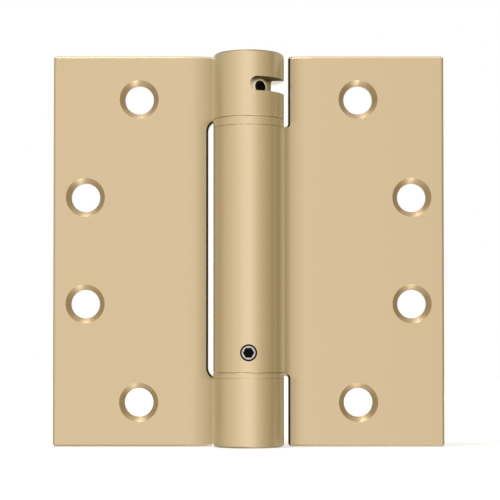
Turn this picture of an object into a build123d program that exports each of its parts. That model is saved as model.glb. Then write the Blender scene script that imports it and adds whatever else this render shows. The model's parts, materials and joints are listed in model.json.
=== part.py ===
from build123d import *
import os
from math import acos, cos, degrees, floor, radians, sin

# Spring hinge for a door, opened flat, in millimetres.
# The barrel axis is Z, with the origin half way up it. The frame leaf lies towards -X and the
# door leaf towards +X. The countersunk faces look towards -Y, the side that the barrel stands on.
# Angles round the barrel are in degrees from the front (-Y), turning towards the door leaf (+X).

# Leaves
hinge_height = 114.3
open_width = 114.3
leaf_gauge = 3.4
closed_gap = 1.6
edge_break = 0.6
corner_round = 0.8

# Barrel, rolled from the leaf edges
barrel_diameter = 20.6
swage_turn = 36
seam_gap = 0.25
top_knuckle_length = 19.05
bottom_knuckle_length = 19.95
upper_ring_height = 2.4
lower_ring_height = 1.5
thrust_clearance = 0.1
tab_margin = 1.0
facing_margin = 0.3
frame_relief = 1.55
door_relief = 1.3
window_corner = 3.0
notch_corner = 0.7

# Screw holes
screw_hole_diameter = 8.4
countersink_diameter = 11.4
countersink_angle = 82
outer_hole_inset = 9.4
inner_hole_inset = 25.1
inner_hole_end = 12.8
outer_hole_pitch = 31.2

# Tension slot, winder and pin
pin_diameter = 3.175
pin_drop = 0.4
pin_play = 0.11
pin_length = 6.35
slot_depth_from_top = 9.7
slot_front_angle = 14.4
winder_holes = 6
winder_hole_diameter = 3.5
winder_hole_flare = 0.3
winder_flare_angle = 90
winder_hole_angle = 32
pin_hole = 2
winder_clearance = 0.2
winder_end_play = 0.2
cap_thickness = 4.0
cap_recess = 0.3
press_clearance = 0.02

# Journals inside the barrel
running_clearance = 0.05
sleeve_wall = 2.1
sleeve_length = 7.0
pivot_wall = 2.5
pivot_depth = 4.2
small_chamfer = 0.3
ring_chamfer = 0.08
meeting_rim = 0.12
end_rim = 0.5

# Torsion spring and its anchor
wire_width = 2.5
wire_height = 4.6
coil_gap = 0.4
coil_clearance = 0.55
coil_end_play = 0.3
nose_clearance = 0.35
nose_past_tang = 1.5
tang_clearance = 0.1
anchor_length = 10.9

# Lock screw in the centre knuckle
lock_height_in_knuckle = 5.7
lock_hole_diameter = 4.8
lock_screw_diameter = 4.4
lock_recess = 0.3
lock_socket = 2.7
lock_socket_depth = 1.6
lock_tip_diameter = 3.0
lock_tip_depth = 0.7
lock_tip_clearance = 0.2

# Section of a leaf
barrel_r = barrel_diameter / 2
bore_r = barrel_r - leaf_gauge
roll_r = barrel_r - leaf_gauge / 2
screw_hole_r = screw_hole_diameter / 2
countersink_r = countersink_diameter / 2
leaf_reach = open_width / 2
face_y = closed_gap / 2
back_y = face_y + leaf_gauge
lead = radians(swage_turn)
bend_r = (roll_r * cos(lead) - (face_y + back_y) / 2) / (1 - cos(lead))
bend_front_r = bend_r + leaf_gauge / 2
bend_back_r = bend_r - leaf_gauge / 2
bend_reach = roll_r + bend_r
bend_x = bend_reach * sin(lead)
bend_y = bend_reach * cos(lead)
roll_start = 90 - swage_turn
seam_reach = bend_front_r + seam_gap
seam_cosine = (barrel_r**2 + bend_reach**2 - seam_reach**2) / (2 * barrel_r * bend_reach)
roll_end = 360 + roll_start - degrees(acos(seam_cosine))

# Heights along the barrel
top_end = hinge_height / 2
top_knuckle_z = top_end - top_knuckle_length
upper_ring_top = top_knuckle_z - thrust_clearance
centre_top = upper_ring_top - upper_ring_height
bottom_knuckle_z = bottom_knuckle_length - top_end
lower_ring_top = bottom_knuckle_z + lower_ring_height
centre_bottom = lower_ring_top + thrust_clearance
tab_top = centre_top + tab_margin
tab_bottom = centre_bottom - tab_margin
slot_z = top_end - slot_depth_from_top
cap_base = top_end - cap_recess - cap_thickness
winder_base = upper_ring_top + thrust_clearance
winder_top = cap_base - winder_end_play
sleeve_base = centre_top - sleeve_length
anchor_base = centre_bottom + 2 * thrust_clearance
anchor_top = anchor_base + anchor_length
coil_top = sleeve_base - coil_end_play - wire_height / 2
coil_base = anchor_top + coil_end_play + wire_height / 2
spring_turns = floor(2 * (coil_top - coil_base) / (wire_height + coil_gap)) / 2
lock_z = centre_bottom + lock_height_in_knuckle

# Radii inside the barrel
slot_r = pin_diameter / 2 + pin_drop + pin_play
pin_z = slot_z - pin_drop
pin_angle = winder_hole_angle + pin_hole * 360 / winder_holes
winder_r = bore_r - winder_clearance
pin_tip = barrel_r + pin_play
pin_root = pin_tip - pin_length
journal_r = bore_r - sleeve_wall - running_clearance
coil_r = bore_r - coil_clearance - wire_width / 2
nose_r = coil_r - wire_width / 2 - nose_clearance
anchor_r = bore_r - winder_clearance
pivot_r = bore_r - pivot_wall
tang_slot = wire_width + 2 * tang_clearance
outward_from_axis = (Align.CENTER, Align.CENTER, Align.MIN)


def outward(angle):
    """Unit direction away from the barrel axis at an angle from the front."""
    return (sin(radians(angle)), -cos(radians(angle)), 0)


def radial_plane(angle, radius, height):
    """A plane square to the outward direction, facing away from the barrel axis."""
    x, y, _ = outward(angle)
    return Plane(origin=(radius * x, radius * y, height), x_dir=(0, 0, 1), z_dir=(x, y, 0))


def axial_plane(angle):
    """A plane through the barrel axis, with its local x outward and its local y up."""
    x, y, _ = outward(angle)
    return Plane(origin=(0, 0, 0), x_dir=(x, y, 0), z_dir=(y, -x, 0))


def leaf_section(side):
    """A leaf's section: the flat, then the swage bend that leads back to the roll of the knuckle."""

    def on_bend(radius, turn):
        return (side * (bend_x - radius * sin(radians(turn))), bend_y - radius * cos(radians(turn)))

    def bend_arc(radius):
        ThreePointArc(*(on_bend(radius, turn) for turn in (0, swage_turn / 2, swage_turn)))

    with BuildSketch() as section:
        with BuildLine():
            Polyline(
                on_bend(bend_front_r, 0),
                (side * leaf_reach, face_y),
                (side * leaf_reach, back_y),
                on_bend(bend_back_r, 0),
            )
            bend_arc(bend_front_r)
            bend_arc(bend_back_r)
            Line(on_bend(bend_front_r, swage_turn), on_bend(bend_back_r, swage_turn))
        make_face()
        fillet(section.vertices().group_by(Axis.X)[0 if side < 0 else -1], corner_round)
    return section.sketch


def knuckle_wall(side, base, top, base_rim, top_rim):
    """Section of a knuckle's wall with its rims broken, on the plane where the roll leaves the bend."""
    along, back = side * sin(lead), cos(lead)
    with BuildSketch(Plane(origin=(0, 0, 0), x_dir=(along, back, 0), z_dir=(back, -along, 0))) as wall:
        with Locations((roll_r, (base + top) / 2)):
            Rectangle(leaf_gauge, top - base)
        chamfer(wall.vertices().group_by(Axis.X)[-1].sort_by(Axis.Y)[0], base_rim)
        chamfer(wall.vertices().group_by(Axis.X)[-1].sort_by(Axis.Y)[-1], top_rim)
    return wall.sketch


def screw_hole_places(side):
    """The four staggered screw holes on a leaf's front face."""
    places = []
    for end in (1, -1):
        inner = (side * (leaf_reach - inner_hole_inset), face_y, end * (top_end - inner_hole_end))
        outer = (side * (leaf_reach - outer_hole_inset), face_y, end * outer_hole_pitch / 2)
        places += [Plane(origin=place, x_dir=(1, 0, 0), z_dir=(0, -1, 0)) for place in (inner, outer)]
    return places


# Frame leaf, with the top and bottom knuckles
with BuildPart() as frame_leaf:
    with BuildSketch(Plane.XY.offset(-top_end)):
        add(leaf_section(-1))
    extrude(amount=hinge_height)
    end_edges = faces().filter_by(Axis.Z).edges() - faces().sort_by(Axis.X)[-1].edges()
    with BuildSketch(Plane.XZ) as window:
        with BuildLine():
            Polyline(
                (0, top_knuckle_z),
                (-barrel_r - frame_relief, top_knuckle_z),
                (-barrel_r - frame_relief, bottom_knuckle_z),
                (0, bottom_knuckle_z),
                close=True,
            )
        make_face()
        fillet(window.vertices().group_by(Axis.X)[0], window_corner)
    extrude(amount=barrel_diameter, both=True, mode=Mode.SUBTRACT)
    window_edges = edges(Select.LAST).filter_by(Axis.Z).group_by(Axis.X)[0]
    chamfer(window_edges + end_edges, edge_break)
    with BuildSketch(Plane.XY.offset(bottom_knuckle_z)):
        Circle(barrel_r + facing_margin)
    extrude(amount=top_knuckle_z - bottom_knuckle_z, mode=Mode.SUBTRACT)
    top_wall = knuckle_wall(-1, top_knuckle_z, top_end, meeting_rim, end_rim)
    bottom_wall = knuckle_wall(-1, -top_end, bottom_knuckle_z, end_rim, meeting_rim)
    for wall in (top_wall, bottom_wall):
        revolve(wall, Axis((0, 0, 0), (0, 0, -1)), roll_end - roll_start)
    with BuildSketch(axial_plane(slot_front_angle)):
        with Locations((barrel_r, slot_z)):
            Rectangle(2 * leaf_gauge, 2 * slot_r)
    revolve(axis=Axis.Z, revolution_arc=pin_angle - slot_front_angle, mode=Mode.SUBTRACT)
    with Locations(radial_plane(slot_front_angle, 0, slot_z), radial_plane(pin_angle, 0, slot_z)):
        Cylinder(slot_r, barrel_diameter, align=outward_from_axis, mode=Mode.SUBTRACT)
    with Locations(screw_hole_places(-1)):
        CounterSinkHole(screw_hole_r, countersink_r, 2 * leaf_gauge, countersink_angle)
frame_leaf.part.label = "frame_leaf"

# Door leaf, with the long centre knuckle
with BuildPart() as door_leaf:
    with BuildSketch(Plane.XY.offset(-top_end)):
        add(leaf_section(1))
    extrude(amount=hinge_height)
    for tab_z, end_z in ((tab_top, hinge_height), (tab_bottom, -hinge_height)):
        with BuildSketch(Plane.XZ) as notch:
            with BuildLine():
                Polyline(
                    (0, tab_z),
                    (barrel_r + door_relief, tab_z),
                    (barrel_r + door_relief, end_z),
                    (0, end_z),
                    close=True,
                )
            make_face()
            fillet(notch.vertices().group_by(Axis.X)[-1].sort_by_distance((0, 0, 0))[0], notch_corner)
        extrude(amount=barrel_diameter, both=True, mode=Mode.SUBTRACT)
    notch_edges = edges().filter_by(Axis.Z).filter_by_position(
        Axis.X, barrel_r + door_relief - edge_break, barrel_r + door_relief + edge_break
    )
    level_faces = faces().filter_by(Axis.Z).sort_by(Axis.Z)
    end_edges = level_faces[0].edges() + level_faces[-1].edges()
    chamfer(notch_edges + end_edges, edge_break)
    for face_z, away in ((centre_top, tab_margin), (centre_bottom, -tab_margin)):
        with BuildSketch(Plane.XY.offset(face_z)):
            Circle(barrel_r + facing_margin)
        extrude(amount=2 * away, mode=Mode.SUBTRACT)
    centre_wall = knuckle_wall(1, centre_bottom, centre_top, meeting_rim, meeting_rim)
    revolve(centre_wall, Axis.Z, roll_end - roll_start)
    with Locations(radial_plane(0, 0, lock_z)):
        Cylinder(lock_hole_diameter / 2, barrel_diameter, align=outward_from_axis, mode=Mode.SUBTRACT)
    with Locations(screw_hole_places(1)):
        CounterSinkHole(screw_hole_r, countersink_r, 2 * leaf_gauge, countersink_angle)
door_leaf.part.label = "door_leaf"

# Cap pressed into the top knuckle over the winder
with BuildPart() as top_cap:
    with BuildSketch(Plane.XY.offset(cap_base)):
        Circle(bore_r - press_clearance)
    extrude(amount=cap_thickness)
    chamfer(edges().group_by(Axis.Z)[-1], small_chamfer)
top_cap.part.label = "top_cap"

# Winder: a drum with a ring of tommy-bar holes, a journal and a slotted nose that holds the spring
with BuildPart() as tension_winder:
    with BuildSketch(Plane.XZ):
        with BuildLine():
            Polyline(
                (0, winder_top),
                (winder_r, winder_top),
                (winder_r, winder_base),
                (journal_r, winder_base),
                (journal_r, sleeve_base),
                (nose_r, sleeve_base),
                (nose_r, coil_top - wire_height / 2 - nose_past_tang),
                (0, coil_top - wire_height / 2 - nose_past_tang),
                close=True,
            )
        make_face()
    revolve(axis=Axis.Z)
    with BuildSketch(Plane.XY.offset(sleeve_base - tang_clearance)):
        Rectangle(4 * nose_r, tang_slot)
    extrude(amount=-sleeve_length, mode=Mode.SUBTRACT)
    for hole in range(winder_holes):
        with Locations(radial_plane(winder_hole_angle + hole * 360 / winder_holes, winder_r, pin_z)):
            CounterSinkHole(
                winder_hole_diameter / 2,
                winder_hole_diameter / 2 + winder_hole_flare,
                winder_r - pin_root + tang_clearance,
                winder_flare_angle,
            )
tension_winder.part.label = "tension_winder"

# Pin that holds the winder against the rear end of the slot
with BuildPart() as tension_pin:
    with BuildSketch(radial_plane(pin_angle, pin_root, pin_z)):
        Circle(pin_diameter / 2)
    extrude(amount=pin_length)
    chamfer(faces().filter_by(GeomType.PLANE).sort_by_distance((0, 0, pin_z))[-1].edges(), small_chamfer)
tension_pin.part.label = "tension_pin"

# Upper bearing: the ring between the knuckles, with a sleeve down into the centre knuckle
with BuildPart() as upper_bearing:
    with BuildSketch(Plane.XY.offset(centre_top)):
        Circle(barrel_r)
    extrude(amount=upper_ring_height)
    chamfer(edges(), ring_chamfer)
    with BuildSketch(Plane.XY.offset(sleeve_base)):
        Circle(bore_r - press_clearance)
    extrude(amount=sleeve_length + ring_chamfer)
    with BuildSketch(Plane.XY.offset(sleeve_base)):
        Circle(journal_r + running_clearance)
    extrude(amount=sleeve_length + upper_ring_height, mode=Mode.SUBTRACT)
upper_bearing.part.label = "upper_bearing"

# Lower bearing: a plain ring on the bottom knuckle
with BuildPart() as lower_bearing:
    with BuildSketch(Plane.XY.offset(bottom_knuckle_z)):
        Circle(barrel_r)
        Circle(pivot_r + running_clearance, mode=Mode.SUBTRACT)
    extrude(amount=lower_ring_height)
    chamfer(edges().filter_by(GeomType.CIRCLE).group_by(SortBy.RADIUS)[-1], ring_chamfer)
lower_bearing.part.label = "lower_bearing"

# Bottom plug, pressed into the bottom knuckle, with the pivot that the centre knuckle turns on
with BuildPart() as bottom_pivot:
    with BuildSketch(Plane.XY.offset(cap_recess - top_end)):
        Circle(bore_r - press_clearance)
    extrude(amount=bottom_knuckle_z + top_end - cap_recess)
    chamfer(edges().group_by(Axis.Z)[0], small_chamfer)
    with BuildSketch(Plane.XY.offset(bottom_knuckle_z)):
        Circle(pivot_r)
    extrude(amount=anchor_base + pivot_depth - bottom_knuckle_z)
bottom_pivot.part.label = "bottom_pivot"

# Anchor for the lower end of the spring, turning on the pivot with the centre knuckle
with BuildPart() as spring_anchor:
    with BuildSketch(Plane.XZ):
        with BuildLine():
            Polyline(
                (0, coil_base + wire_height / 2 + nose_past_tang),
                (nose_r, coil_base + wire_height / 2 + nose_past_tang),
                (nose_r, anchor_top),
                (anchor_r, anchor_top),
                (anchor_r, anchor_base),
                (pivot_r + running_clearance, anchor_base),
                (pivot_r + running_clearance, anchor_base + pivot_depth + winder_end_play),
                (0, anchor_base + pivot_depth + winder_end_play),
                close=True,
            )
        make_face()
    revolve(axis=Axis.Z)
    with BuildSketch(Plane.XY.offset(anchor_top + tang_clearance)):
        Rectangle(4 * nose_r, tang_slot)
    extrude(amount=anchor_length, mode=Mode.SUBTRACT)
    with BuildSketch(radial_plane(0, anchor_r - lock_tip_depth - lock_tip_clearance, lock_z)):
        Circle(lock_tip_diameter / 2 + lock_tip_clearance)
    extrude(amount=leaf_gauge, mode=Mode.SUBTRACT)
spring_anchor.part.label = "spring_anchor"

# Torsion spring: rectangular wire, wound left-handed so that opening the door tightens it
with BuildPart() as torsion_spring:
    with BuildLine():
        coil = Helix(
            pitch=(coil_top - coil_base) / spring_turns,
            height=coil_top - coil_base,
            radius=coil_r,
            center=(0, 0, coil_base),
            lefthand=True,
        )
    with BuildSketch(Plane(coil @ 0, x_dir=(1, 0, 0), z_dir=coil % 0)):
        Rectangle(wire_width, wire_height)
    sweep(is_frenet=True)
    for coil_end in (coil @ 0, coil @ 1):
        inward = Vector(-coil_end.X, -coil_end.Y, 0)
        with BuildSketch(Plane(coil_end, x_dir=(0, 0, 1), z_dir=inward)):
            Rectangle(wire_height, wire_width)
        extrude(amount=coil_r + nose_r)
torsion_spring.part.label = "torsion_spring"

# Lock screw: a socket set screw through the front of the centre knuckle into the anchor
with BuildPart() as lock_screw:
    with BuildSketch(radial_plane(0, anchor_r + lock_tip_clearance, lock_z)):
        Circle(lock_screw_diameter / 2)
    extrude(amount=barrel_r - lock_recess - anchor_r - lock_tip_clearance)
    chamfer(edges().group_by(Axis.Y)[0], small_chamfer)
    with BuildSketch(radial_plane(0, anchor_r - lock_tip_depth, lock_z)):
        Circle(lock_tip_diameter / 2)
    extrude(amount=lock_tip_depth + 2 * lock_tip_clearance)
    with BuildSketch(radial_plane(0, barrel_r - lock_recess, lock_z)):
        RegularPolygon(lock_socket / 2, 6, major_radius=False)
    extrude(amount=-lock_socket_depth, mode=Mode.SUBTRACT)
lock_screw.part.label = "lock_screw"

os.makedirs("parts", exist_ok=True)
pieces = (
    frame_leaf,
    door_leaf,
    top_cap,
    tension_winder,
    tension_pin,
    upper_bearing,
    lower_bearing,
    bottom_pivot,
    spring_anchor,
    torsion_spring,
    lock_screw,
)
for piece in pieces:
    export_step(piece.part, f"parts/{piece.part.label}.step")
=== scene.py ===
import json
import math

import bpy
import numpy as np
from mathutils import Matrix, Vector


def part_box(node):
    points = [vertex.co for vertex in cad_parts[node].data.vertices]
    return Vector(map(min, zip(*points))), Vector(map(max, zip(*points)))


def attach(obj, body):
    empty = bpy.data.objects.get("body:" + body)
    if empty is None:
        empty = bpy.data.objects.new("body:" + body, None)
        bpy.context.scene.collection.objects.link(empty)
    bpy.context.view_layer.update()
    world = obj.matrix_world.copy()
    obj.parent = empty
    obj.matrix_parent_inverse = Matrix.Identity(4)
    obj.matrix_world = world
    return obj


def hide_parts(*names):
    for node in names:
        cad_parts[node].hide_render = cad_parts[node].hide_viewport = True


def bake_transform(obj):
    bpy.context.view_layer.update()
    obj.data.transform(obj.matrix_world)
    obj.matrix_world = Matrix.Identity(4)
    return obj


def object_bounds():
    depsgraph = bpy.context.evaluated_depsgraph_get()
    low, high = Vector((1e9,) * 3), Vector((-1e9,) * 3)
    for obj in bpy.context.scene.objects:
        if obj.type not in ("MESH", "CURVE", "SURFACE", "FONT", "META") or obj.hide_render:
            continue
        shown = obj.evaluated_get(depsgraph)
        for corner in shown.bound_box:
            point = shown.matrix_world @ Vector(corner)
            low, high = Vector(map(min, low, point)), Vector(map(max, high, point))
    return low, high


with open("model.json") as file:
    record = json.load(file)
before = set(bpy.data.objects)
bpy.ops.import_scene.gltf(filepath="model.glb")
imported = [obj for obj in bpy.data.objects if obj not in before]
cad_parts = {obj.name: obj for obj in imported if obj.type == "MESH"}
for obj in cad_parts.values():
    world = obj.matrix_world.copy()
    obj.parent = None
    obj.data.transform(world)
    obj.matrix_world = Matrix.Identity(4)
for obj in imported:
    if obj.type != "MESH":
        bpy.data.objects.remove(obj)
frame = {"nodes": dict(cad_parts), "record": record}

cad_low, cad_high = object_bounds()
scene = bpy.context.scene
scene.view_settings.view_transform = "Standard"

# Places on the hinge that the finishes and the pieces follow, in metres
record = frame["record"]
mounts = {mount["name"]: mount for mount in record["mounts"]}
joints = {joint["name"]: joint for joint in record["behaviour"]["joints"]}
slot_low, slot_high = record["physics"]["openings"][0]["box_m"]
slot_middle = (slot_low[2] + slot_high[2]) / 2
screw_low, screw_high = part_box("lock_screw")
lock_z = (screw_low.z + screw_high.z) / 2
lock_hole_r = 0.0024
barrel_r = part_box("upper_bearing")[1].x
centre_low, centre_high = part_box("lower_bearing")[0].z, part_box("upper_bearing")[1].z
upper_ring_height = 0.0024
ring_seam_z = centre_high - upper_ring_height
gap_wall_r = 0.0128
leaf_back_y = mounts["door_back"]["pos_m"][1]
countersink_r = 0.0057
winder_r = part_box("tension_winder")[1].x
winder_hole_z = joints["tension_wind"]["pos_m"][2]
winder_hole_angle, winder_hole_step = math.radians(32), math.radians(60)

# Colours of the finishes, in linear light. The shade, highlight and reflection colours among them are
# painted light and shade.
leaf_brass = (0.71, 0.547, 0.322)
barrel_brass = (0.79, 0.618, 0.378)
flank_reflection_grey = (0.78, 0.71, 0.54)
cloud_brass = (0.55, 0.42, 0.25)
countersink_shade_brass = (0.57, 0.44, 0.26)
shaded_brass = (0.10, 0.066, 0.03)
corner_highlight_brass = (0.86, 0.78, 0.62)
painted_highlight_brass = (1.0, 0.92, 0.75)
brass_glint = (0.8, 0.86, 0.84, 1.0)
slot_roof_shade = (0.2, 0.15, 0.06)
slot_pale_reflection = (1.0, 0.87, 0.7)
hole_shade_black = (0.02, 0.012, 0.004)
socket_shade_black = (0.008, 0.008, 0.007)
oiled_steel = (0.05, 0.045, 0.04)
spring_wire = (0.2, 0.2, 0.205)
pale_steel = (0.62, 0.59, 0.53)
cloudy_steel = (0.42, 0.4, 0.38)
floor_white = (0.7, 0.7, 0.7, 1)


def surface_piece(name, points, faces, material):
    """A mesh object from whole arrays: points is (n, 3) and faces is a list of (m, k) index arrays."""
    mesh = bpy.data.meshes.new(name)
    mesh.from_pydata(points.tolist(), [], [face for block in faces for face in block.tolist()])
    mesh.materials.append(material)
    mesh.update()
    piece = bpy.data.objects.new(name, mesh)
    scene.collection.objects.link(piece)
    return piece


def grid_faces(rows, columns):
    """Quads between neighbouring points of a rows by columns grid, counted row by row."""
    i, j = np.meshgrid(np.arange(rows - 1), np.arange(columns - 1), indexing="ij")
    corner = (i * columns + j).ravel()
    return np.stack([corner, corner + 1, corner + columns + 1, corner + columns], axis=1)


def ring_faces(rows, columns):
    """Quads between neighbouring rings of points, where each ring's last point joins its first."""
    i, j = np.meshgrid(np.arange(rows - 1), np.arange(columns), indexing="ij")
    here, beside = i * columns + j, i * columns + (j + 1) % columns
    return np.stack([here, beside, beside + columns, here + columns], axis=-1).reshape(-1, 4)


class Finish:
    """A node material, with short calls for the nodes that the finishes share."""

    def __init__(self, name):
        self.material = bpy.data.materials.new(name)
        self.material.use_nodes = True
        self.tree = self.material.node_tree
        self.shader = self.tree.nodes["Principled BSDF"]
        coordinates = self.node("ShaderNodeTexCoord")
        self.place = coordinates.outputs["Object"]
        self.x, self.y, self.z = self.parts(self.place)
        self.facing_x, _, self.facing_z = self.parts(coordinates.outputs["Normal"])

    def node(self, kind, **settings):
        """A new node with its settings."""
        made = self.tree.nodes.new(kind)
        for key, value in settings.items():
            setattr(made, key, value)
        return made

    def link(self, source, target):
        """Links a node's output to a socket."""
        self.tree.links.new(source, target)

    def feed(self, socket, value):
        """Links a socket to a node's output, or sets its own value."""
        if isinstance(value, bpy.types.NodeSocket):
            self.link(value, socket)
        else:
            socket.default_value = value

    def parts(self, vector):
        """The x, y and z of a vector."""
        split = self.node("ShaderNodeSeparateXYZ")
        self.link(vector, split.inputs[0])
        return split.outputs[0], split.outputs[1], split.outputs[2]

    def vector(self, x, y, z):
        """A vector from its x, y and z."""
        made = self.node("ShaderNodeCombineXYZ")
        for socket, value in zip(made.inputs, (x, y, z)):
            self.feed(socket, value)
        return made.outputs[0]

    def math(self, operation, *values):
        """One operation of Blender's Math node."""
        made = self.node("ShaderNodeMath", operation=operation)
        for socket, value in zip(made.inputs, values):
            self.feed(socket, value)
        return made.outputs[0]

    def product(self, first, *others):
        """All the values multiplied. For masks, it is 1 where all of them are."""
        total = first
        for value in others:
            total = self.math("MULTIPLY", total, value)
        return total

    def outside(self, mask):
        """1 where the mask is 0, and 0 where it is 1."""
        return self.math("SUBTRACT", 1.0, mask)

    def distance(self, value, level):
        """How far a value lies from a level, either way."""
        return self.math("ABSOLUTE", self.math("SUBTRACT", value, level))

    def length(self, first, second):
        """Length of the two sides of a right angle: the root of their squares' sum."""
        squares = self.math("ADD", self.product(first, first), self.product(second, second))
        return self.math("SQRT", squares)

    def between(self, value, low, high):
        """0 at low, 1 at high, smooth between them and flat beyond them."""
        made = self.node("ShaderNodeMapRange", interpolation_type="SMOOTHSTEP")
        self.link(value, made.inputs["Value"])
        made.inputs["From Min"].default_value = low
        made.inputs["From Max"].default_value = high
        return made.outputs["Result"]

    def grain(self, scale, detail=3.0):
        """Noise stretched by a scale along each axis, per metre."""
        mapping = self.node("ShaderNodeMapping")
        mapping.inputs["Scale"].default_value = scale
        self.link(self.place, mapping.inputs["Vector"])
        noise = self.node("ShaderNodeTexNoise")
        noise.inputs["Scale"].default_value = 1.0
        noise.inputs["Detail"].default_value = detail
        self.link(mapping.outputs[0], noise.inputs["Vector"])
        return noise.outputs["Fac"]

    def mix(self, factor, first, second):
        """A colour between two others."""
        made = self.node("ShaderNodeMix", data_type="RGBA")
        for socket, value in ((0, factor), (6, first), (7, second)):
            self.feed(made.inputs[socket], (*value, 1.0) if isinstance(value, tuple) else value)
        return made.outputs[2]

    def blend_vector(self, factor, first, second):
        """A vector between two others."""
        made = self.node("ShaderNodeMix", data_type="VECTOR")
        for socket, value in ((0, factor), (4, first), (5, second)):
            self.feed(made.inputs[socket], value)
        return made.outputs[1]

    def blend_number(self, factor, first, second):
        """A number between two others."""
        made = self.node("ShaderNodeMix", data_type="FLOAT")
        for socket, value in ((0, factor), (2, first), (3, second)):
            self.feed(made.inputs[socket], value)
        return made.outputs[0]

    def relief(self, height, strength, edge_radius):
        """Bump of a hundredth of a millimetre, on edges that are shaded as round over a radius."""
        soft = self.node("ShaderNodeBevel", samples=6)
        self.feed(soft.inputs["Radius"], edge_radius)
        bump = self.node("ShaderNodeBump")
        bump.inputs["Distance"].default_value = 0.00001
        bump.inputs["Strength"].default_value = strength
        self.link(height, bump.inputs["Height"])
        self.link(soft.outputs[0], bump.inputs["Normal"])
        self.link(bump.outputs[0], self.shader.inputs["Normal"])


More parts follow.
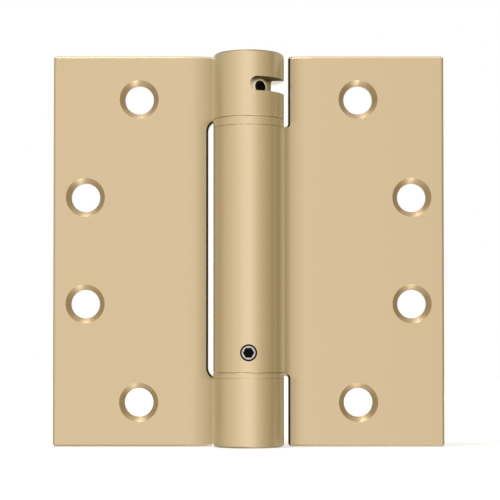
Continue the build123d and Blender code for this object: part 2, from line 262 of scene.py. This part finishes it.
class Brass(Finish):
    """Satin brass plate. Each method lays one more thing on the colour, the roughness, the lacquer or the
    direction across the fine lines. A pair of numbers is where a mask is 0 and where it is 1."""

    def __init__(self, name):
        """The plain plate: the barrel is paler than the leaves, a greyer reflection is painted on its front
        flanks, and all is cloudy.
        """
        super().__init__(name)
        leaf_limits = (barrel_r + 0.0001, barrel_r + 0.0008)
        front_limits = (0.0041, 0.0037)
        side_limits, side_share = (0.68 * barrel_r, 0.86 * barrel_r), 0.9
        cloud_scale, cloud_detail, cloud_share = (60, 60, 45), 2.0, 0.05
        barrel_rough, leaf_rough = 0.31, 0.29
        across_barrel, across_leaf = (0, 0, 1), (1, 0.05, 0)

        self.radius = self.length(self.x, self.y)
        self.on_leaf = self.between(self.radius, *leaf_limits)
        self.on_front = self.between(self.y, *front_limits)
        # Painted reflection: a greyer tone on the barrel's front flanks, as the reflections there look from
        # the front.
        sides = self.between(self.math("ABSOLUTE", self.x), *side_limits)
        self.colour = self.mix(self.product(sides, self.on_front, side_share), barrel_brass, flank_reflection_grey)
        self.lay(self.on_leaf, leaf_brass)
        self.lay(self.grain(cloud_scale, cloud_detail), cloud_brass, cloud_share)
        self.rough = self.blend_number(self.on_leaf, barrel_rough, leaf_rough)
        self.lacquer = 0.8
        self.across = self.blend_vector(self.on_leaf, across_barrel, across_leaf)

    def lay(self, mask, tone, share=1.0):
        """Takes the colour a share of the way to a tone, where the mask is 1."""
        self.colour = self.mix(self.product(mask, share), self.colour, tone)

    def roughen(self, mask, roughness):
        """Gives the plate another roughness, where the mask is 1."""
        self.rough = self.blend_number(mask, self.rough, roughness)

    def shade_rims(self):
        """Painted shade on the sloping rims at the hinge's foot and at the barrel's top, not on flat ends:
        a darker colour that holds down their highlights, and a duller plate.
        """
        rim_start, rim_full = 0.0012, 0.001
        tilt_start, tilt_full = 0.1, 0.3
        sloping_limits = (0.97, 0.9)
        barrel_share, leaf_share, rim_rough = 0.7, 0.55, 0.5

        foot = self.product(self.between(self.z, cad_low.z + rim_start, cad_low.z + rim_full),
                            self.between(self.facing_z, -tilt_start, -tilt_full))
        crown = self.product(self.between(self.z, cad_high.z - rim_start, cad_high.z - rim_full),
                             self.between(self.facing_z, tilt_start, tilt_full),
                             self.outside(self.on_leaf))
        sloping = self.between(self.math("ABSOLUTE", self.facing_z), *sloping_limits)
        rim = self.product(self.math("MAXIMUM", foot, crown), sloping)
        # Painted shade: the rims darkened in place of the highlights the lamps would give them.
        self.lay(rim, shaded_brass, self.blend_number(self.on_leaf, barrel_share, leaf_share))
        self.roughen(rim, rim_rough)

    def ring_seam(self):
        """A dark line of painted shade round the barrel where the upper ring meets the centre knuckle, as
        shade in a gap would show.
        """
        line_limits, line_share = (0.00018, 0.00008), 0.22
        line = self.between(self.distance(self.z, ring_seam_z), *line_limits)
        # Painted shade along the seam.
        self.lay(self.product(line, self.outside(self.on_leaf)), shaded_brass, line_share)

    def countersinks(self):
        """Painted shade, a darker colour, and duller plate in the countersinks, with fine lines round the
        hole: the direction across them
            points away from its axis. The eight holes are two, folded about the barrel and its middle."""
        edge_limits = (countersink_r + 0.0001, countersink_r - 0.0001)
        back_limits = (leaf_back_y - 0.0002, leaf_back_y - 0.0006)
        cone_slope, cone_rough = -0.3, 0.42
        millimetre = 0.001

        side, half = self.math("SIGN", self.x), self.math("SIGN", self.z)
        over, up = self.math("ABSOLUTE", self.x), self.math("ABSOLUTE", self.z)
        off_back = self.between(self.y, *back_limits)
        sunk = 0.0
        for pair in ("door_inner_screws", "door_outer_screws"):
            hole_x = mounts[pair]["pos_m"][0]
            hole_z = mounts[pair]["dims"]["spacing_y_mm"] * millimetre / 2
            away_x, away_z = self.math("SUBTRACT", over, hole_x), self.math("SUBTRACT", up, hole_z)
            from_axis = self.length(away_x, away_z)
            inside = self.product(self.between(from_axis, *edge_limits), off_back)
            sideways = self.math("DIVIDE", self.product(away_x, side), from_axis)
            upwards = self.math("DIVIDE", self.product(away_z, half), from_axis)
            self.across = self.blend_vector(inside, self.across, self.vector(sideways, cone_slope, upwards))
            sunk = self.math("ADD", inside, sunk)
        # Painted shade in the countersinks: a darker colour for the recess.
        self.lay(sunk, countersink_shade_brass)
        self.roughen(sunk, cone_rough)

    def barrel_gaps(self):
        """Painted shade where a leaf's edge stands off the other leaf's knuckles, on that edge and beside
        it, and softly on
            both leaves near the barrel; a painted highlight, a pale corner with a bright line, where a leaf
            runs into its own knuckles on the front."""
        sideways_limits = (0.5, 0.66)
        wall_limits = (gap_wall_r + 0.0002, gap_wall_r)
        beside_limits, beside_share = (gap_wall_r + 0.003, gap_wall_r - 0.001), 0.2
        shade_limits, shade_share = (0.0175, 0.0115), 0.075
        corner_limits, corner_share = (barrel_r + 0.0028, barrel_r + 0.0004), 0.5
        line_inner = (barrel_r + 0.00003, barrel_r + 0.00012)
        line_outer = (barrel_r + 0.0007, barrel_r + 0.0004)
        centre_middle, centre_half = (centre_low + centre_high) / 2, (centre_high - centre_low) / 2
        end_fade, side_fade = 0.001, 0.001

        from_middle = self.distance(self.z, centre_middle)
        by_centre = self.between(from_middle, centre_half + end_fade, centre_half - end_fade)
        on_left = self.between(self.x, side_fade, -side_fade)
        gapped = self.blend_number(on_left, self.outside(by_centre), by_centre)
        joined = self.product(self.on_front, self.outside(gapped))
        corner = self.product(self.on_leaf, self.between(self.radius, *corner_limits), joined)
        beside = self.product(self.on_leaf, self.between(self.radius, *beside_limits), gapped)
        shade = self.product(self.on_leaf, self.between(self.radius, *shade_limits))
        line = self.product(self.between(self.radius, *line_inner),
                            self.between(self.radius, *line_outer), joined)
        wall = self.product(self.between(self.math("ABSOLUTE", self.facing_x), *sideways_limits),
                            self.on_leaf, self.between(self.radius, *wall_limits))
        # Painted highlight on the corner and the line, painted shade beside the gaps, near the barrel and
        # on the gap walls.
        self.lay(corner, corner_highlight_brass, corner_share)
        self.lay(beside, shaded_brass, beside_share)
        self.lay(shade, shaded_brass, shade_share)
        self.lay(line, painted_highlight_brass)
        self.lay(wall, shaded_brass)

    def tension_slot(self):
        """A pale painted reflection in the milled slot, without lacquer, and painted shade on the dull dark
        roof over its front.
        """
        depth_limits = (barrel_r - 0.00002, barrel_r - 0.0001)
        height_limits = (0.0024, 0.0023)
        roof_limits, lip_limits, lip_rough = (-0.2, -0.6), (0.0002, -0.0012), 0.95

        milled = self.product(self.between(self.radius, *depth_limits),
                              self.between(self.distance(self.z, slot_middle), *height_limits))
        lip = self.product(self.between(self.facing_z, *roof_limits), self.between(self.y, *lip_limits))
        # Painted reflection, pale, in the slot, and painted shade on its roof.
        self.lay(milled, self.mix(lip, slot_pale_reflection, slot_roof_shade))
        self.roughen(self.product(milled, lip), lip_rough)
        self.lacquer = self.product(self.outside(milled), self.lacquer)

    def lock_hole(self):
        """Painted shade, a dull black, in the lock screw's hole, on the front of the barrel."""
        front_limits = (-0.5 * barrel_r, -0.6 * barrel_r)
        edge_limits = (lock_hole_r + 0.00006, lock_hole_r + 0.00002)
        hole_rough = 0.95

        from_axis = self.length(self.x, self.math("SUBTRACT", self.z, lock_z))
        bored = self.product(self.between(self.y, *front_limits), self.between(from_axis, *edge_limits))
        # Painted shade: black in the hole.
        self.lay(bored, hole_shade_black)
        self.roughen(bored, hole_rough)

    def winder_holes(self):
        """Painted shade under the slot's roof, a painted highlight ring round each hole of the winder, and
        painted shade,
            black, in the holes. The six holes are one, folded round the axis by the remainder of the angle."""
        roof_limits, roof_share = (slot_high[2] - 0.0016, slot_high[2] - 0.0002), 0.75
        ring_limits = (0.0025, 0.0022)
        depth_limits = (winder_r - 0.0002, winder_r - 0.0003)
        half_step = winder_hole_step / 2

        angle = self.math("ARCTAN2", self.x, self.product(self.y, -1.0))
        from_first = self.math("SUBTRACT", angle, winder_hole_angle - half_step)
        folded = self.math("SUBTRACT", self.math("FLOORED_MODULO", from_first, winder_hole_step), half_step)
        from_hole = self.length(self.product(folded, winder_r),
                                self.math("SUBTRACT", self.z, winder_hole_z))
        # Painted shade under the roof, a painted highlight ring round each hole and painted shade, black,
        # in the holes.
        self.lay(self.between(self.z, *roof_limits), slot_roof_shade, roof_share)
        self.lay(self.between(from_hole, *ring_limits), painted_highlight_brass)
        self.lay(self.between(self.radius, *depth_limits), hole_shade_black)

    def finished(self):
        """Links what was laid on to the shader, with fine lines along the leaves and round the barrel."""
        leaf_lines, barrel_lines = (9000, 9000, 160), (400, 400, 9000)
        line_rough, line_strength = 0.06, 0.06
        top_limits = (cad_high.z - 0.005, cad_high.z - 0.002)
        edge_radius, top_edge_radius = 0.0001, 0.00035

        lines = self.blend_number(self.on_leaf, self.grain(barrel_lines), self.grain(leaf_lines))
        sockets = self.shader.inputs
        self.link(self.colour, sockets["Base Color"])
        self.link(self.math("MULTIPLY_ADD", lines, line_rough, self.rough), sockets["Roughness"])
        sockets["Metallic"].default_value = 1.0
        sockets["Specular Tint"].default_value = brass_glint
        self.feed(sockets["Coat Weight"], self.lacquer)
        sockets["Coat Roughness"].default_value = 0.2
        sockets["Anisotropic"].default_value = 0.4
        to_world = self.node("ShaderNodeVectorTransform", vector_type="VECTOR",
                             convert_from="OBJECT", convert_to="WORLD")
        self.link(self.across, to_world.inputs[0])
        self.link(to_world.outputs[0], sockets["Tangent"])
        top_edge = self.product(self.on_leaf, self.between(self.z, *top_limits))
        self.relief(lines, line_strength, self.blend_number(top_edge, edge_radius, top_edge_radius))
        return self.material


def plated_brass(name, *details):
    """Satin brass plate with these details of Brass laid on it, in their order."""
    brass = Brass(name)
    for detail in (Brass.shade_rims, Brass.ring_seam, *details):
        detail(brass)
    return brass.finished()


def plain_metal(name, tone, roughness):
    """Bare or oiled metal: one tone with fine clouds in its colour and its roughness."""
    cloud_scale, cloud_detail, cloud_level, cloud_share = (900, 900, 900), 4.0, 0.6, 0.5
    cloud_rough, cloud_strength, edge_radius = 0.06, 0.1, 0.0001
    cloud_tone = tuple(cloud_level * part for part in tone)

    finish = Finish(name)
    clouds = finish.grain(cloud_scale, cloud_detail)
    colour = finish.mix(finish.product(clouds, cloud_share), tone, cloud_tone)
    finish.link(colour, finish.shader.inputs["Base Color"])
    rough = finish.math("MULTIPLY_ADD", clouds, cloud_rough, roughness)
    finish.link(rough, finish.shader.inputs["Roughness"])
    finish.shader.inputs["Metallic"].default_value = 1.0
    finish.relief(clouds, cloud_strength, edge_radius)
    return finish.material


def screw_steel(name):
    """Pale steel on the ring round the socket, with black painted shade in the socket and in the thread."""
    cloud_scale, cloud_detail, cloud_share = (1500, 1500, 1500), 4.0, 0.35
    steel_rough, cloud_rough, cloud_strength, edge_radius = 0.3, 0.1, 0.1, 0.00005
    socket_limits = (screw_low.y + 0.0001, screw_low.y + 0.00018)
    thread_limits = (0.00203, 0.00208)

    finish = Finish(name)
    from_axis = finish.length(finish.x, finish.math("SUBTRACT", finish.z, lock_z))
    clouds = finish.grain(cloud_scale, cloud_detail)
    steel = finish.mix(finish.product(clouds, cloud_share), pale_steel, cloudy_steel)
    socket = finish.between(finish.y, *socket_limits)
    thread = finish.between(from_axis, *thread_limits)
    # Painted shade in the socket and the thread.
    colour = finish.mix(finish.math("MAXIMUM", socket, thread), steel, socket_shade_black)
    finish.link(colour, finish.shader.inputs["Base Color"])
    rough = finish.math("MULTIPLY_ADD", clouds, cloud_rough, steel_rough)
    finish.link(rough, finish.shader.inputs["Roughness"])
    finish.shader.inputs["Metallic"].default_value = 1.0
    finish.relief(clouds, cloud_strength, edge_radius)
    return finish.material


def dress(material, *names):
    """Puts one material on CAD nodes."""
    for name in names:
        slots = frame["nodes"][name].data.materials
        slots.clear()
        slots.append(material)


def socket_screw(material):
    """The lock screw as rings of points about its axis, from the tip round to the bottom of the socket. A
    ring at depth d has the radius r(d, a): the thread's flanks follow the saw-tooth of
    (d / pitch - a / turn), and the socket's rings are hexagons, where r = flat / cos(a - a of the nearest
    flat)."""
    pitch, crest, groove = 0.0008, 0.00235, 0.0004
    tip_r, tip_length, tip_chamfer = 0.0015, 0.001, 0.0003
    face_r, face_round = 0.00195, 0.00005
    thread_start, thread_end = 0.0002, 0.0004
    socket_flat, socket_depth, drill_point = 0.00135, 0.0016, 0.0003
    mouth_width, mouth_depth = 0.00008, 0.0001
    segments, thread_rings = 96, 40
    face_y, tip_y = screw_low.y, screw_high.y
    shoulder_y = tip_y - tip_length
    angle = np.linspace(0, 2 * np.pi, segments, endpoint=False)

    depth = np.linspace(shoulder_y - thread_start, face_y + thread_end, thread_rings)[:, None]
    wave = np.abs((depth / pitch - angle / (2 * np.pi)) % 1 - 0.5) * 2
    threaded = crest - groove * wave
    hexagon = socket_flat / np.cos(angle % (np.pi / 3) - np.pi / 6)

    def ring(y, r):
        return np.full((1, segments), y), np.broadcast_to(r, (1, segments))

    rings = [
        ring(tip_y, tip_r - tip_chamfer),
        ring(tip_y - tip_chamfer, tip_r),
        ring(shoulder_y, tip_r),
        ring(shoulder_y, face_r),
        (np.broadcast_to(depth, threaded.shape), threaded),
        ring(face_y + face_round, face_r + face_round),
        ring(face_y, face_r),
        ring(face_y, hexagon + mouth_width),
        ring(face_y + mouth_depth, hexagon),
        ring(face_y + socket_depth, hexagon),
    ]
    y = np.concatenate([ys for ys, _ in rings])
    r = np.concatenate([rs for _, rs in rings])
    around = np.stack([r * np.cos(angle), y, lock_z + r * np.sin(angle)], axis=-1)
    poles = np.array([[0, tip_y, lock_z], [0, face_y + socket_depth + drill_point, lock_z]])
    points = np.concatenate([around.reshape(-1, 3), poles])

    rows, columns = r.shape
    first = np.arange(columns)
    last = first + (rows - 1) * columns
    tip_fan = np.stack([np.full(columns, rows * columns), np.roll(first, -1), first], axis=1)
    socket_fan = np.stack([np.full(columns, rows * columns + 1), last, np.roll(last, -1)], axis=1)
    walls = ring_faces(rows, columns)
    piece = surface_piece("threaded_lock_screw", points, [walls, tip_fan, socket_fan], material)
    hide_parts("lock_screw")
    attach(piece, "door_leaf")


def twisting_spring(material):
    """The torsion spring: a rounded rectangle (u, v) carried along a path as P + N u + Z v, where N is
    (cos b, sin b). The path's upper half is half a helix, an arc that turns the wire inwards and a straight
    bar across the axis. The lower half is the upper one turned half round about the helix's middle."""
    wire_width, wire_height, wire_round = 0.0025, 0.0046, 0.0004
    turns, bend_r, nose_clearance = 9.5, 0.0013, 0.00035
    helix_points, arc_points, bar_points, corner_points = 300, 20, 6, 4
    low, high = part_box("torsion_spring")
    coil_r = high.x - wire_width / 2
    middle, coil_top = (low.z + high.z) / 2, high.z - wire_height / 2
    bar_end = coil_r - wire_width / 2 - nose_clearance

    start, end = -np.pi * turns, -2 * np.pi * turns
    lead = np.arcsin(bend_r / (coil_r - bend_r))
    helix = np.linspace(start, end + lead, helix_points)
    helix_z = middle + (coil_top - middle) * (start - helix) / (start - end)
    arc = np.linspace(end + lead, end - np.pi / 2, arc_points)[1:]
    arc_z = np.linspace(helix_z[-1], coil_top, arc_points)[1:]
    bar = np.linspace((coil_r - bend_r) * np.cos(lead), -bar_end, bar_points)[1:]
    side = np.concatenate([helix, arc, np.full(len(bar), end - np.pi / 2)])
    place = np.concatenate([
        np.stack([coil_r * np.cos(helix), coil_r * np.sin(helix), helix_z], axis=1),
        np.stack([(coil_r - bend_r) * np.cos(end + lead) + bend_r * np.cos(arc),
                  (coil_r - bend_r) * np.sin(end + lead) + bend_r * np.sin(arc), arc_z], axis=1),
        np.stack([bar * np.cos(end), bar * np.sin(end), np.full(len(bar), coil_top)], axis=1),
    ])

    corner = np.repeat([0, 1, 2, 3], corner_points)
    corner_u, corner_v = np.array([1, -1, -1, 1])[corner], np.array([1, 1, -1, -1])[corner]
    turn = np.tile(np.linspace(0, np.pi / 2, corner_points), 4) + corner * np.pi / 2
    u = corner_u * (wire_width / 2 - wire_round) + wire_round * np.cos(turn)
    v = corner_v * (wire_height / 2 - wire_round) + wire_round * np.sin(turn)
    x = place[:, :1] + np.cos(side)[:, None] * u
    y = place[:, 1:2] + np.sin(side)[:, None] * u
    z = place[:, 2:] + v
    upper = np.stack([x, y, z], axis=-1).reshape(-1, 3)
    turned_x = x * np.cos(2 * start) + y * np.sin(2 * start)
    turned_y = x * np.sin(2 * start) - y * np.cos(2 * start)
    lower = np.stack([turned_x, turned_y, 2 * middle - z], axis=-1).reshape(-1, 3)

    rows, columns = z.shape
    first = np.arange(columns)[None, ::-1]
    last = np.arange(columns)[None] + (rows - 1) * columns
    faces = [ring_faces(rows, columns), first, last]
    halves = (("upper_spring", upper, "winder", 1), ("lower_spring", lower, "door_leaf", -1))
    for name, points, body, reach in halves:
        piece = surface_piece(name, points, faces, material)
        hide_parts("torsion_spring")
        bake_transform(piece)


leaf_details = (Brass.countersinks, Brass.barrel_gaps, Brass.tension_slot, Brass.lock_hole)
dress(plated_brass("satin brass, leaves", *leaf_details), "frame_leaf", "door_leaf")
dress(plated_brass("satin brass, turned"), "top_cap", "bottom_pivot", "upper_bearing", "lower_bearing")
dress(plated_brass("satin brass, winder", Brass.winder_holes), "tension_winder")
dress(plain_metal("oiled anchor steel", oiled_steel, roughness=0.35), "spring_anchor")
dress(plain_metal("bright steel", pale_steel, roughness=0.25), "tension_pin")
socket_screw(screw_steel("oiled screw steel"))
twisting_spring(plain_metal("spring wire", spring_wire, roughness=0.4))

# Brightness of the light tent by its angle from the front, in degrees, on each side of the hinge
left_glow = (
    (0, 1.02),
    (10, 1.01),
    (28, 0.905),
    (50, 0.79),
    (72, 0.72),
    (85, 0.66),
    (100, 0.58),
    (130, 0.5),
    (150, 0.6),
    (165, 1.0),
    (180, 1.0),
)
right_glow = (
    (0, 1.02),
    (10, 1.01),
    (21, 0.86),
    (31, 0.74),
    (42, 0.63),
    (52, 0.56),
    (64, 0.52),
    (76, 0.45),
    (84, 0.35),
    (89, 0.28),
    (92, 0.5),
    (97, 0.64),
    (108, 0.6),
    (125, 0.5),
    (150, 0.6),
    (165, 1.0),
    (180, 1.0),
)


def tent_light(name, attribute):
    """Light whose colour and strength are read from a mesh attribute."""
    finish = Finish(name)
    finish.tree.nodes.remove(finish.shader)
    read = finish.node("ShaderNodeAttribute", attribute_name=attribute)
    glow = finish.node("ShaderNodeEmission")
    finish.link(read.outputs["Color"], glow.inputs["Color"])
    finish.link(glow.outputs[0], finish.tree.nodes["Material Output"].inputs["Surface"])
    return finish.material


def light_tent():
    """A wall of light round the hinge: points (R sin a, -R cos a, z) with the glow as an attribute. Where
    it is darker it is warmer, as a wall lit by brass would be."""
    tent_r, tent_low, tent_top = 0.62, -0.6, 0.6
    columns, rows = 361, 5
    green_loss, blue_loss = 0.12, 0.5

    angle = np.linspace(-180, 180, columns)
    height = np.linspace(tent_low, tent_top, rows)
    a, z = np.meshgrid(np.radians(angle), height, indexing="xy")
    points = np.stack([tent_r * np.sin(a), -tent_r * np.cos(a), z], axis=-1).reshape(-1, 3)
    material = tent_light("tent light", "glow")
    tent = surface_piece("light_tent", points, [grid_faces(rows, columns)], material)

    left, right = (np.interp(np.abs(angle), *zip(*glow)) for glow in (left_glow, right_glow))
    red = np.where(angle < 0, left, right)
    green, blue = red * (1 - green_loss * (1 - red)), red * (1 - blue_loss * (1 - red))
    light = np.stack([red, green, blue, np.ones_like(red)], axis=1)
    glow = tent.data.attributes.new("glow", "FLOAT_COLOR", "POINT")
    glow.data.foreach_set("color", np.tile(light.ravel(), rows).astype(np.float32))
    tent.visible_camera = False


def seen_directly(tree):
    """1 for rays from the camera, a reflection or a clear piece, and 0 for light that falls on things."""
    paths = tree.nodes.new("ShaderNodeLightPath")
    total = paths.outputs["Is Camera Ray"]
    for ray in ("Is Glossy Ray", "Is Transmission Ray"):
        most = tree.nodes.new("ShaderNodeMath")
        most.operation = "MAXIMUM"
        tree.links.new(total, most.inputs[0])
        tree.links.new(paths.outputs[ray], most.inputs[1])
        total = most.outputs[0]
    return total


def pale_floor():
    """A plain white floor just under the hinge, a grid of points in one plane. It glows a little, more so
    far off, so that it runs into the white background. The metal doesn't reflect it, and the lamp below
    shines through it."""
    floor_drop, floor_reach, floor_points = 0.00015, 1.4, 13
    far_limits, near_glow, far_glow = (0.45, 0.6), 0.48, 0.68

    reach = np.linspace(-floor_reach, floor_reach, floor_points)
    x, y = np.meshgrid(reach, reach, indexing="ij")
    points = np.stack([x, y, np.full_like(x, cad_low.z - floor_drop)], axis=-1).reshape(-1, 3)
    finish = Finish("pale floor")
    finish.tree.nodes.remove(finish.shader)
    paint = finish.node("ShaderNodeBsdfDiffuse")
    paint.inputs["Color"].default_value = floor_white
    glow = finish.node("ShaderNodeEmission")
    far = finish.between(finish.length(finish.x, finish.y), *far_limits)
    level = finish.blend_number(far, near_glow, far_glow)
    finish.link(finish.product(seen_directly(finish.tree), level), glow.inputs["Strength"])
    both = finish.node("ShaderNodeAddShader")
    finish.link(paint.outputs[0], both.inputs[0])
    finish.link(glow.outputs[0], both.inputs[1])
    finish.link(both.outputs[0], finish.tree.nodes["Material Output"].inputs["Surface"])
    floor = surface_piece("floor", points, [grid_faces(floor_points, floor_points)], finish.material)
    floor.visible_glossy = False
    floor.visible_shadow = False


def white_world():
    """A white background, at a lower level for the light that it throws."""
    thrown_level, seen_level = 0.6, 1.0

    world = bpy.data.worlds.new("studio")
    world.use_nodes = True
    scene.world = world
    tree = world.node_tree
    background = tree.nodes["Background"]
    background.inputs["Color"].default_value = (1, 1, 1, 1)
    level = tree.nodes.new("ShaderNodeMapRange")
    level.inputs["To Min"].default_value = thrown_level
    level.inputs["To Max"].default_value = seen_level
    tree.links.new(seen_directly(tree), level.inputs["Value"])
    tree.links.new(level.outputs["Result"], background.inputs["Strength"])


def softbox(name, place, radiance):
    """An area lamp of one radiance, aimed at the hinge's middle. Its power is radiance x pi x area."""
    width, depth = 0.2, 0.5

    lamp = bpy.data.lights.new(name, "AREA")
    lamp.shape = "RECTANGLE"
    lamp.size = width
    lamp.size_y = depth
    lamp.energy = radiance * math.pi * width * depth
    holder = bpy.data.objects.new(name, lamp)
    scene.collection.objects.link(holder)
    holder.location = place
    aim = -Vector(place)
    holder.rotation_euler = aim.to_track_quat("-Z", "Y").to_euler()
    holder.visible_camera = False


def photo_camera():
    """A long lens a little below the middle of the hinge, tilted up slightly, with the rest of the rise as
    shift."""
    tilt_up = 1.6

    data = bpy.data.cameras.new("camera")
    data.sensor_width = 36
    data.lens = 121.08
    data.shift_y = 0.1180
    data.clip_start = 0.05
    data.clip_end = 20
    camera = bpy.data.objects.new("camera", data)
    scene.collection.objects.link(camera)
    camera.location = (0.0004, -0.490, -0.0308)
    camera.rotation_euler = (math.radians(90 + tilt_up), 0, 0)
    scene.camera = camera


white_world()
light_tent()
pale_floor()
softbox("overhead", place=(-0.23, -0.22, 1.1), radiance=13.0)
softbox("underneath", place=(0.23, -0.22, -1.1), radiance=8.0)
photo_camera()
